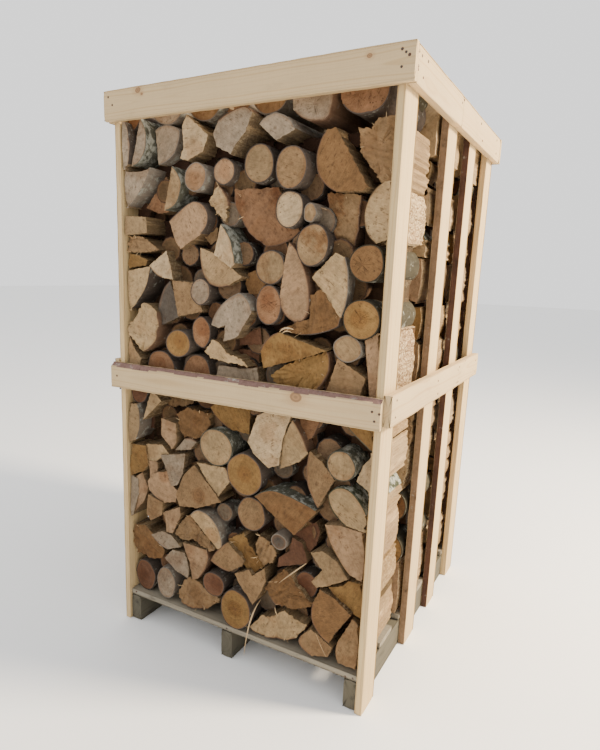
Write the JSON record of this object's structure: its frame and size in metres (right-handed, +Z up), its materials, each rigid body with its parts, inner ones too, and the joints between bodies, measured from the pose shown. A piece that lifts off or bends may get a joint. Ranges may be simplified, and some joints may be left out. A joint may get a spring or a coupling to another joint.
{
  "type": "pallet of firewood",
  "caption": "Slatted pallet crate of rough-sawn boards on bearers, packed with rows of split and round firewood logs.",
  "frame": {"origin": "on the ground, under the middle of the whole crate's box", "axes": "+Z up the crate's height. -Y towards the open front, where the sawn faces of the front row of logs show. +X to the right as seen from that front."},
  "size_m": [1.029, 1.169, 1.88],
  "materials": {
    "base_timber": "weathered, sawn",
    "wall_boards": "rough-sawn",
    "rails": "rough-sawn, with wane",
    "split_firewood": "split and sawn, with bark",
    "top_logs": "split and sawn, with bark"
  },
  "bodies": {
    "root": {"bearer_left": "base_timber", "bearer_middle": "base_timber", "bearer_right": "base_timber", "deck_board_1": "base_timber", "deck_board_2": "base_timber", "deck_board_3": "base_timber", "deck_board_4": "base_timber", "deck_board_5": "base_timber", "deck_board_6": "base_timber", "left_corner_board_front": "wall_boards", "left_slat_front": "wall_boards", "left_slat_rear": "wall_boards", "left_corner_board_rear": "wall_boards", "right_corner_board_front": "wall_boards", "right_slat_front": "wall_boards", "right_slat_rear": "wall_boards", "right_corner_board_rear": "wall_boards", "left_top_rail": "rails", "left_middle_rail": "rails", "right_top_rail_front": "rails", "right_top_rail_rear": "rails", "right_middle_rail_front": "rails", "right_middle_rail_rear": "rails", "front_top_rail": "rails", "rear_top_rail": "rails", "front_middle_rail": "rails", "rear_middle_rail": "rails", "front_row_logs": "split_firewood", "middle_row_logs": "split_firewood", "rear_row_logs": "split_firewood", "front_top_log_1": "top_logs", "front_top_log_2": "top_logs", "front_top_log_3": "top_logs", "front_top_log_4": "top_logs", "front_top_log_5": "top_logs", "front_top_log_6": "top_logs", "front_top_log_7": "top_logs", "front_top_log_8": "top_logs", "front_top_log_9": "top_logs", "front_top_log_10": "top_logs", "front_top_log_11": "top_logs", "middle_top_log_1": "top_logs", "middle_top_log_2": "top_logs", "middle_top_log_3": "top_logs", "middle_top_log_4": "top_logs", "middle_top_log_5": "top_logs", "middle_top_log_6": "top_logs", "middle_top_log_7": "top_logs", "middle_top_log_8": "top_logs", "rear_top_log_1": "top_logs", "rear_top_log_2": "top_logs", "rear_top_log_3": "top_logs", "rear_top_log_4": "top_logs", "rear_top_log_5": "top_logs", "rear_top_log_6": "top_logs", "rear_top_log_7": "top_logs", "rear_top_log_8": "top_logs"}
  },
  "joints": []
}
